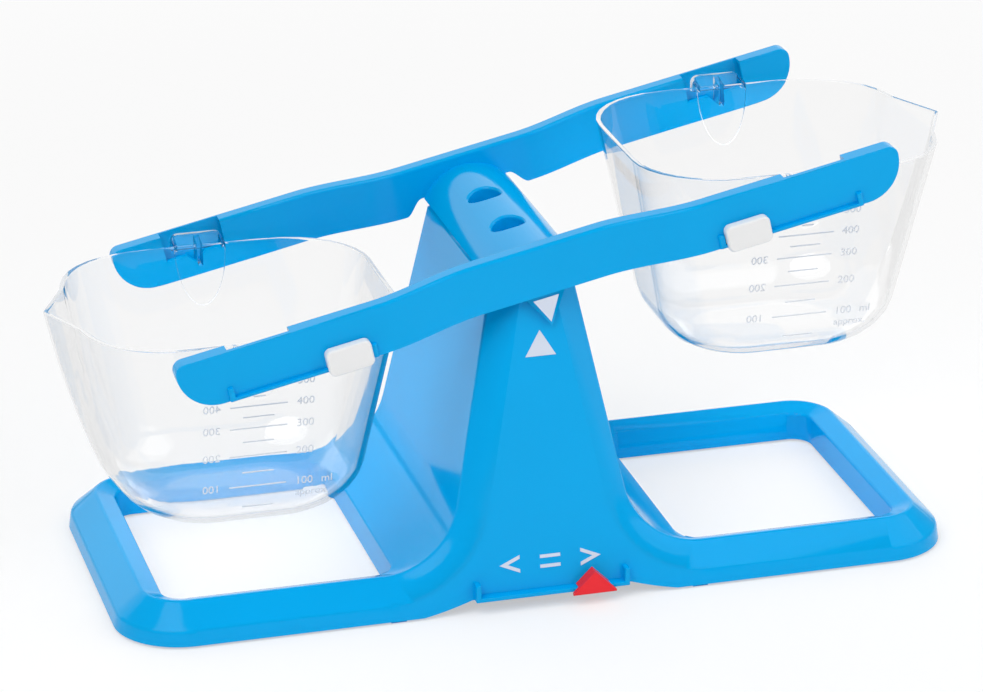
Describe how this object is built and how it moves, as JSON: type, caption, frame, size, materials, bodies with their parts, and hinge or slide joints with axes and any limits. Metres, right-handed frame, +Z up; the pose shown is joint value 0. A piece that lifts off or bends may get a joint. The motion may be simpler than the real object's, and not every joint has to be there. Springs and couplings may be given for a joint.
{
  "type": "bucket balance scale toy",
  "caption": "Toy bucket balance: hollow plastic tower on open foot rings, twin rocking beams with sliding zero weights, and clear spouted buckets with millilitre lines.",
  "frame": {"origin": "on the table, under the middle of the whole object", "axes": "+X along the beams towards the raised bucket, +Y to the rear, +Z up"},
  "size_m": [0.3584, 0.1522, 0.1693],
  "materials": {
    "blue_plastic": "glossy",
    "white_plastic": "glossy",
    "red_plastic": "glossy",
    "clear_plastic": "clear, polished",
    "steel": "ground",
    "print": "printed ink"
  },
  "bodies": {
    "base": {"base_shell": "blue_plastic", "front_saddle": "white_plastic", "rear_saddle": "white_plastic", "balance_mark": "print", "less_sign": "print", "equals_sign": "print", "greater_sign": "print"},
    "marker": {"answer_marker": "red_plastic"},
    "beam": {"front_beam": "blue_plastic", "rear_beam": "blue_plastic", "hub_cap": "blue_plastic", "front_pin": "steel", "rear_pin": "steel", "pointer_mark": "print"},
    "left_slider": {"left_slider": "white_plastic"},
    "right_slider": {"right_slider": "white_plastic"},
    "left_bucket": {"left_bucket": "clear_plastic", "left_scale_marks": "print"},
    "right_bucket": {"right_bucket": "clear_plastic", "right_scale_marks": "print"}
  },
  "joints": [
    {"name": "marker_slide", "type": "slide", "parent": "base", "child": "marker", "axis": [1, 0, 0], "range_m": [-0.0374, 0.0054]},
    {"name": "beam_tilt", "type": "hinge", "parent": "base", "child": "beam", "pos_m": [-0.00056, 0.00221, 0.13023], "axis": [0, 1, 0], "range_deg": [0, 24]},
    {"name": "left_slider_slide", "type": "slide", "parent": "beam", "child": "left_slider", "axis": [0.9781, 0, 0.2079], "range_m": [-0.0354, 0]},
    {"name": "right_slider_slide", "type": "slide", "parent": "beam", "child": "right_slider", "axis": [0.9781, 0, 0.2079], "range_m": [0, 0.0354]},
    {"name": "left_bucket_swing", "type": "hinge", "parent": "beam", "child": "left_bucket", "pos_m": [-0.1074, 0.00221, 0.10476], "axis": [0, 1, 0], "range_deg": [-24, 0]},
    {"name": "right_bucket_swing", "type": "hinge", "parent": "beam", "child": "right_bucket", "pos_m": [0.1074, 0.00221, 0.15041], "axis": [0, 1, 0], "range_deg": [-24, 0]}
  ],
  "couplings": [
    {"joint": "left_bucket_swing", "follows": "beam_tilt", "ratio": -1},
    {"joint": "right_bucket_swing", "follows": "beam_tilt", "ratio": -1}
  ]
}
